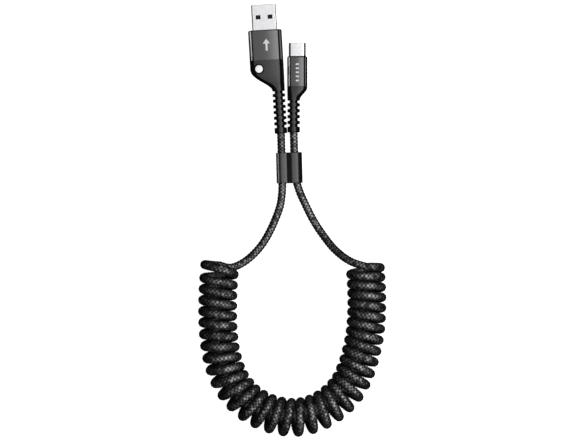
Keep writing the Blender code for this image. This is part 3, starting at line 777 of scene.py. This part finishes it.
# %% Boot
def boot(name, place, size, cut, body_length, taper, offset, late, notches, pitch, droop):
    """The moulded back of a plug. Late is over 1 where the taper's inner side leaves late."""
    width, height = size
    core = grown(size, -SLEEVE_WALL - SEAT_GAP)
    shoulder = -SLEEVE_LENGTH - JOINT_GAP
    rings = [
        outline(-SLEEVE_COLLAR - SEAT_GAP, (0, 0), core, (cut, cut), CHAMFER_FULLNESS),
        outline(shoulder, (0, 0), core, (cut, cut), CHAMFER_FULLNESS),
    ]
    for y, shrink in ((0, JOINT_EDGE), (JOINT_MIDDLE, JOINT_MIDDLE), (JOINT_EDGE, 0)):
        rings.append(outline(shoulder - y, (0, 0), grown(size, -shrink), (cut, cut),
                             CHAMFER_FULLNESS, CROWN))
    for step in range(TAPER_STEPS):
        along = step / TAPER_STEPS
        far, near = ease(along ** late), ease(along)
        sides = [-width / 2, width / 2]
        ends = [offset - RELIEF_SIZE[0] / 2, offset + RELIEF_SIZE[0] / 2]
        swings = [far, near] if offset > 0 else [near, far]
        left, right = (blend(a, b, part) for a, b, part in zip(sides, ends, swings))
        tall = blend(height, RELIEF_SIZE[1], near ** 2)
        corner = blend(cut, (RELIEF_SIZE[0] - SPINE_FLAT) / 2, near), blend(cut, RELIEF_CORNER, near)
        middle = ((left + right) / 2, 0)
        rings.append(outline(taper * (1 - along) - body_length, middle, (right - left, tall),
                             corner, blend(CHAMFER_FULLNESS, RELIEF_FULLNESS, near), CROWN * (1 - near)))
    length = FIRST_NOTCH + (notches - 1) * pitch + RELIEF_COLLAR
    profile = notch_profile()
    for notch in range(notches):
        for along, inward in profile:
            down = FIRST_NOTCH + notch * pitch + along
            rings.append(relief_ring(-body_length - down, (offset, droop * down / length), inward))
    for step in range(END_STEPS + 1):
        angle = step / END_STEPS * pi / 2
        down = length - RELIEF_END_ROUND * (1 - sin(angle))
        rings.append(relief_ring(-body_length - down, (offset, droop * down / length),
                                 shrink=RELIEF_END_ROUND * (1 - cos(angle))))
    hole = (CORD_HOLE, CORD_HOLE)
    for depth in (0, CORD_HOLE_DEPTH):
        rings.append(outline(depth - body_length - length, (offset, droop), hole,
                             (CORD_HOLE / 2, CORD_HOLE / 2)))
    bm = bmesh.new()
    pull(bm, rings)
    close(bm)
    return piece(name + "_moulded", bm, place, elastomer, [name], "cable")


CORD_HEIGHT = 3.2 * MM
usb_a_boot = boot("usb_a_boot", usb_a, USB_A_SIZE, USB_A_CUT, body_length=29.7 * MM, taper=11.0 * MM,
                  offset=5.0 * MM, late=1.25, notches=7, pitch=2.77 * MM,
                  droop=CORD_HEIGHT - USB_A_SIZE[1] / 2)
boot("usb_c_boot", usb_c, USB_C_SIZE, USB_C_CUT, body_length=21.3 * MM, taper=6.0 * MM,
     offset=-1.75 * MM, late=1.0, notches=5, pitch=2.87 * MM, droop=CORD_HEIGHT - USB_C_SIZE[1] / 2)

# %% [markdown]
# ## Clip
#
# The clip is a short moulding with two barrels side by side. Its outline is flat at the back, and on
# the front each barrel is a little crowned, with a groove between the two. The outside and the two
# flared bores are three open tubes, and each end is then filled between all three, which a triangle
# fill can do round holes.

# %% Clip
CLIP_LENGTH = 15.0 * MM
CLIP_BARREL_OFFSET = 3.1 * MM
CLIP_BORE = (5.4 * MM, 4.9 * MM)
CLIP_BORE_CORNER = 2.2 * MM
CLIP_CORNER = 2.6 * MM
CLIP_GROOVE_CORNER = 1.7 * MM
CLIP_GROOVE_FLOOR = 0.03 * MM
STEEPEST_COSINE = -0.97
CLIP_SIDE_WALL = 0.55 * MM
CLIP_HALF_WIDTH = CLIP_BORE[0] / 2 + CLIP_SIDE_WALL
CLIP_EDGE = 0.35 * MM
CLIP_CROWN = 0.3 * MM
CLIP_FLARE = 0.3 * MM
FLARE_PLACES = ((0, 0), (0.1 * MM, 0.12 * MM), (0.6 * MM, CLIP_FLARE))
ARC_STEPS = 12
CROWN_STEPS = 6


def clip_outline(y, shrink):
    """Round the two barrels: flat below, crowned above with a groove between them."""
    def arc(x, z, corner, start, end):
        angles = [blend(start, end, step / ARC_STEPS) for step in range(ARC_STEPS + 1)]
        return [Vector((x + corner * cos(angle), y, z + corner * sin(angle))) for angle in angles]

    wide, tall, outside = CLIP_HALF_WIDTH - shrink, CORD_HEIGHT - shrink, CLIP_CORNER - shrink
    inside = CLIP_GROOVE_CORNER - shrink
    outer_x = CLIP_BARREL_OFFSET + wide - outside
    inner_x = CLIP_BARREL_OFFSET - wide + inside
    last = acos(max(STEEPEST_COSINE, (CLIP_GROOVE_FLOOR / 2 - inner_x) / inside))
    right = arc(outer_x, outside - tall, outside, -pi / 2, 0.0)
    right += arc(outer_x, tall - outside, outside, 0.0, pi / 2)
    right += [Vector((blend(outer_x, inner_x, step / CROWN_STEPS), y, tall))
              for step in range(1, CROWN_STEPS)]
    right += arc(inner_x, tall - inside, inside, pi / 2, last)
    for point in right:
        if point.z > 0:
            point.z -= CLIP_CROWN * ((point.x - CLIP_BARREL_OFFSET) / CLIP_HALF_WIDTH) ** 2
    left = [Vector((-point.x, point.y, point.z)) for point in reversed(right)]
    return right + left


def rounded_ends(length, radius, steps=4):
    """Places along a bar whose two ends are rounded, and how far its section is drawn in there."""
    turned_in = [(radius * (1 - sin(step / steps * pi / 2)), radius * (1 - cos(step / steps * pi / 2)))
                 for step in range(steps + 1)]
    front = [(length / 2 - down, shrink) for down, shrink in reversed(turned_in)]
    return front + [(-y, shrink) for y, shrink in reversed(front)]


bm = bmesh.new()
pull(bm, [clip_outline(y, shrink) for y, shrink in rounded_ends(CLIP_LENGTH, CLIP_EDGE)])
flares = [(CLIP_LENGTH / 2 - down, inward) for down, inward in FLARE_PLACES]
flares += [(-y, inward) for y, inward in reversed(flares)]
for side in (-1, 1):
    pull(bm, [outline(y, (side * CLIP_BARREL_OFFSET, 0), grown(CLIP_BORE, CLIP_FLARE - inward),
                      (CLIP_BORE_CORNER, CLIP_BORE_CORNER)) for y, inward in flares])
bmesh.ops.remove_doubles(bm, verts=bm.verts, dist=MERGE / 2)
for end in (-1, 1):
    rims = [edge for edge in bm.edges if edge.is_boundary and edge.verts[0].co.y * end > 0]
    bmesh.ops.triangle_fill(bm, use_beauty=True, edges=rims)
piece("clip_polished", bm, clip_place, clip_plastic, ["cable_clip"], "clip")

# %% [markdown]
# ## Round indicator
#
# A small opal lens sits in a black ring, and both are turned shapes, so a profile of their right half
# is spun round their own middle. The ring is dished, so it mirrors the dark between the lights and
# frames the lens. Both stand square to the crowned body, which gets a pocket for them.

# %% Spinning a profile
SPIN_STEPS = 64
EYE_PLACE = (-3.9 * MM, -18.9 * MM)
EYE_LENS_RADIUS = 1.85 * MM
EYE_RING_RADIUS = 2.5 * MM
EYE_DEPTH = 0.9 * MM
EYE_PROUD = 0.08 * MM
EYE_DISH = 0.3 * MM
EYE_DOME = 0.35 * MM


def spun(profile):
    """Spin a profile of (radius, height) points round the Z axis."""
    bm = bmesh.new()
    verts = [bm.verts.new((radius, 0, height)) for radius, height in profile]
    edges = [bm.edges.new(pair) for pair in zip(verts, verts[1:])]
    bmesh.ops.spin(bm, geom=verts + edges, cent=(0, 0, 0), axis=(0, 0, 1), angle=tau,
                   steps=SPIN_STEPS, use_merge=True, use_duplicate=False)
    bmesh.ops.remove_doubles(bm, verts=bm.verts, dist=MERGE / 2)
    return bm


def crowned_top(size, x):
    """How high a crowned wide face is at x, and its slope there."""
    half_x, half_z = size[0] / 2, size[1] / 2
    return half_z * (1 - CROWN * (x / half_x) ** 2), -2 * CROWN * half_z * x / half_x ** 2


# %% Ring, lens and pocket
eye_top, eye_slope = crowned_top(USB_A_SIZE, EYE_PLACE[0])
eye_place = usb_a @ Matrix.Translation((*EYE_PLACE, eye_top)) @ Matrix.Rotation(-atan(eye_slope), 4, "Y")
quarter = [(cos(radians(degrees)), sin(radians(degrees))) for degrees in range(0, 91, 15)]
bore = EYE_LENS_RADIUS + SEAT_GAP / 2

ring_profile = [(bore, -EYE_DEPTH), (EYE_RING_RADIUS, -EYE_DEPTH)]
ring_profile += [(EYE_RING_RADIUS - EYE_PROUD * (1 - across), EYE_PROUD * up_by)
                 for across, up_by in quarter]
ring_profile += [(bore, -EYE_DISH), (bore, -EYE_DEPTH)]
piece("eye_ring", spun(ring_profile), eye_place, ring_plastic, ["usb_a_eye_bezel"], "cable")

lens_profile = [(0, -EYE_DEPTH), (EYE_LENS_RADIUS, -EYE_DEPTH)]
lens_profile += [(EYE_LENS_RADIUS * across, EYE_DOME * up_by - EYE_DISH) for across, up_by in quarter]
piece("eye_lens_opal", spun(lens_profile), eye_place, opal, ["usb_a_eye_lens"], "cable")


def hollowed(target, bm, place):
    """Cut a closed bmesh out of a piece for good."""
    bmesh.ops.transform(bm, matrix=place, verts=bm.verts)
    bmesh.ops.recalc_face_normals(bm, faces=bm.faces)
    tool_mesh = bpy.data.meshes.new("tool")
    bm.to_mesh(tool_mesh)
    bm.free()
    tool = bpy.data.objects.new("tool", tool_mesh)
    bpy.context.scene.collection.objects.link(tool)
    trim = target.modifiers.new("hollow", "BOOLEAN")
    trim.operation, trim.solver, trim.object = "DIFFERENCE", "EXACT", tool
    target.modifiers.move(len(target.modifiers) - 1, 0)
    for other in target.modifiers[1:]:
        other.show_viewport = False
    seen = target.evaluated_get(bpy.context.evaluated_depsgraph_get())
    mesh = bpy.data.meshes.new_from_object(seen)
    target.modifiers.remove(trim)
    for other in target.modifiers:
        other.show_viewport = True
    target.data = mesh
    mesh.set_sharp_from_angle(angle=SMOOTH_UNDER)
    bpy.data.objects.remove(tool)
    print(target.name + ":", len(mesh.polygons), "faces after cutting")


well = EYE_RING_RADIUS + SEAT_GAP / 2
hollowed(usb_a_boot, spun([(0, -EYE_DEPTH - SEAT_GAP), (well, -EYE_DEPTH - SEAT_GAP), (well, 1 * MM),
                           (0, 1 * MM)]), eye_place)

# %% [markdown]
# ## Shells, tongue and contacts
#
# These CAD pieces already have the right shape, and only their edges are too sharp: real sheet and
# real mouldings have a small radius that catches the light. A copy of each is merged, because a CAD
# mesh is loose triangles, and its sharp edges are bevelled.

# %% Softened copies
BEVEL_SEGMENTS = 2
SHARP_FROM = radians(40)
FLAT_WITHIN = radians(1)


def softened(node, width, surface):
    """A copy of a CAD node with its sharp edges rounded."""
    bm = bmesh.new()
    bm.from_mesh(frame["nodes"][node].data)
    bmesh.ops.remove_doubles(bm, verts=bm.verts, dist=MERGE)
    bmesh.ops.dissolve_limit(bm, angle_limit=FLAT_WITHIN, verts=bm.verts, edges=bm.edges)
    sharp = [edge for edge in bm.edges if edge.calc_face_angle(0) > SHARP_FROM]
    bmesh.ops.bevel(bm, geom=sharp, offset=width, offset_type="OFFSET",
                    segments=BEVEL_SEGMENTS, profile=0.5, affect="EDGES", clamp_overlap=True, material=-1)
    return piece(node + "_softened", bm, Matrix(), surface, [node], "cable")


softened("usb_a_shell", 0.06 * MM, nickel)
softened("usb_c_shell", 0.05 * MM, nickel)
softened("usb_a_tongue", 0.12 * MM, polymer)
softened("usb_c_insert", 0.06 * MM, polymer)
for number in range(1, 5):
    softened(f"usb_a_contact_{number}", 0.06 * MM, gold)

# %% [markdown]
# Behind the part of the springs that a socket touches, the moulding rises and covers them, so the
# shell's windows show black and not gold. In the smaller plug the springs are two rows of twelve, half
# a millimetre apart, above and below the mouth.

# %% Moulded bridge and two rows of springs
def bars(name, places, place, width, surface):
    """Small bevelled blocks between pairs of corners, joined in one mesh."""
    bm = bmesh.new()
    for low, high in places:
        low, high = Vector(low), Vector(high)
        corners = bmesh.ops.create_cube(bm, size=1.0)["verts"]
        bmesh.ops.scale(bm, vec=high - low, verts=corners)
        bmesh.ops.translate(bm, vec=(low + high) / 2, verts=corners)
    bmesh.ops.bevel(bm, geom=bm.edges, offset=width, offset_type="OFFSET", segments=BEVEL_SEGMENTS,
                    profile=0.5, affect="EDGES", clamp_overlap=True, material=-1)
    return piece(name, bm, place, surface, [], "cable")


tongue_low, tongue_high = own_box("usb_a_tongue", usb_a)
BRIDGE_REACH = 7.6 * MM
BRIDGE_RISE = 0.42 * MM
BRIDGE_EDGE = 0.12 * MM
bars("usb_a_tongue_bridge", [((tongue_low.x, tongue_low.y, tongue_high.z - SEAT_GAP),
                              (tongue_high.x, BRIDGE_REACH, tongue_high.z + BRIDGE_RISE))],
     usb_a, BRIDGE_EDGE, polymer)

SPRINGS = 12
SPRING_PITCH = 0.5 * MM
SPRING_WIDTH = 0.26 * MM
SPRING_RISE = 0.1 * MM
SPRING_REACH = (2.0 * MM, 5.2 * MM)
SPRING_EDGE = 0.03 * MM
MOUTH_HALF_HEIGHT = 0.45 * MM
rows_of_springs = []
for side in (-1, 1):
    for number in range(SPRINGS):
        x = (number - (SPRINGS - 1) / 2) * SPRING_PITCH
        heights = sorted(side * (MOUTH_HALF_HEIGHT + by) for by in (SEAT_GAP, -SPRING_RISE))
        rows_of_springs.append(((x - SPRING_WIDTH / 2, SPRING_REACH[0], heights[0]),
                                (x + SPRING_WIDTH / 2, SPRING_REACH[1], heights[1])))
bars("usb_c_springs", rows_of_springs, usb_c, SPRING_EDGE, gold)

# %% [markdown]
# ## Printed marks
#
# Both sleeves carry a small white print of plain shapes: an arrow that says which end goes in, and a
# row of short bars. Each is a thin skin of ink on the crowned face: flat shapes are drawn, split into
# narrow strips and pulled up a little, and every point is lifted to the face's own height there.

# %% Prints
INK_RISE = 0.02 * MM
STRIP_WIDTH = 0.25 * MM
STRIPS_EACH_WAY = 24
ARROW_TIP = (0.4 * MM, -4.4 * MM)
ARROW_HEAD = (3.4 * MM, 2.4 * MM)
ARROW_STEM = (1.0 * MM, 3.4 * MM)
DASHES = 5
DASH_PITCH = 2.0 * MM
DASH_SIZE = (1.5 * MM, 0.8 * MM)
DASH_FIRST = -3.6 * MM


def printed(name, shapes, size, place):
    """Ink in flat shapes, each a list of (x, y) corners, laid on a crowned face."""
    bm = bmesh.new()
    for corners in shapes:
        bm.faces.new([bm.verts.new((x, y, 0)) for x, y in corners])
    bmesh.ops.triangulate(bm, faces=bm.faces)
    for number in range(-STRIPS_EACH_WAY, STRIPS_EACH_WAY + 1):
        bmesh.ops.bisect_plane(bm, geom=bm.verts[:] + bm.edges[:] + bm.faces[:], dist=MERGE / 10,
                               plane_co=(number * STRIP_WIDTH, 0, 0), plane_no=(1, 0, 0))
    skin = bmesh.ops.extrude_face_region(bm, geom=bm.faces[:])["geom"]
    raised = [part for part in skin if isinstance(part, bmesh.types.BMVert)]
    for vert in bm.verts:
        vert.co.z = crowned_top(size, vert.co.x)[0] + (INK_RISE if vert in raised else -INK_RISE)
    return piece(name, bm, place, ink, [], "cable")


x, y = ARROW_TIP
half, neck = ARROW_HEAD[0] / 2, y - ARROW_HEAD[1]
thin, foot = ARROW_STEM[0] / 2, y - ARROW_HEAD[1] - ARROW_STEM[1]
printed("usb_a_arrow", [[(x, y), (x - half, neck), (x - thin, neck), (x - thin, foot),
                         (x + thin, foot), (x + thin, neck), (x + half, neck)]], USB_A_SIZE, usb_a)
dashes = []
for number in range(DASHES):
    y = DASH_FIRST - number * DASH_PITCH
    half = DASH_SIZE[0] / 2
    dashes.append([(-half, y), (-half, y - DASH_SIZE[1]), (half, y - DASH_SIZE[1]), (half, y)])
printed("usb_c_dashes", dashes, USB_C_SIZE, usb_c)

# %% [markdown]
# ## Which light falls on what
#
# The plugs stand in each other's light. Photographers light such things one at a time and join the
# exposures, and light linking does the same here. The strips shine on the sleeves alone, and past both
# plugs' housings, so that each chamfer catches its line. The clip has a low strip and a softbox of its
# own, and the cord two long softboxes, a weak one at its left and a strong one at its right: round
# shapes would otherwise mirror little else than the dark. The boxes beyond the ends are for metal.

# %% Light linking
def shine_on(light, names):
    """Let a light fall on some pieces only."""
    shone_on = bpy.data.collections.new("lit by " + light.name)
    for name in names:
        shone_on.objects.link(bpy.data.objects[name])
    light.light_linking.receiver_collection = shone_on


sleeves = ["usb_a_sleeve_anodised", "usb_c_sleeve_anodised"]
shells = ["usb_a_shell_softened", "usb_c_shell_softened"]
boots = ["usb_a_boot_moulded", "usb_c_boot_moulded"]
shone_past = bpy.data.collections.new("strips shine past")
for name in sleeves + boots:
    shone_past.objects.link(bpy.data.objects[name])
for member in shone_past.collection_objects:
    member.light_linking.link_state = "EXCLUDE"
for strip in strips:
    strip.light_linking.blocker_collection = shone_past
    shine_on(strip, sleeves)
for end_box in end_boxes:
    shine_on(end_box, sleeves + shells)
shine_on(clip_strip, ["clip_polished"])
shine_on(clip_box, ["clip_polished"])
for cord_box in cord_boxes:
    shine_on(cord_box, ["braided_cord"])
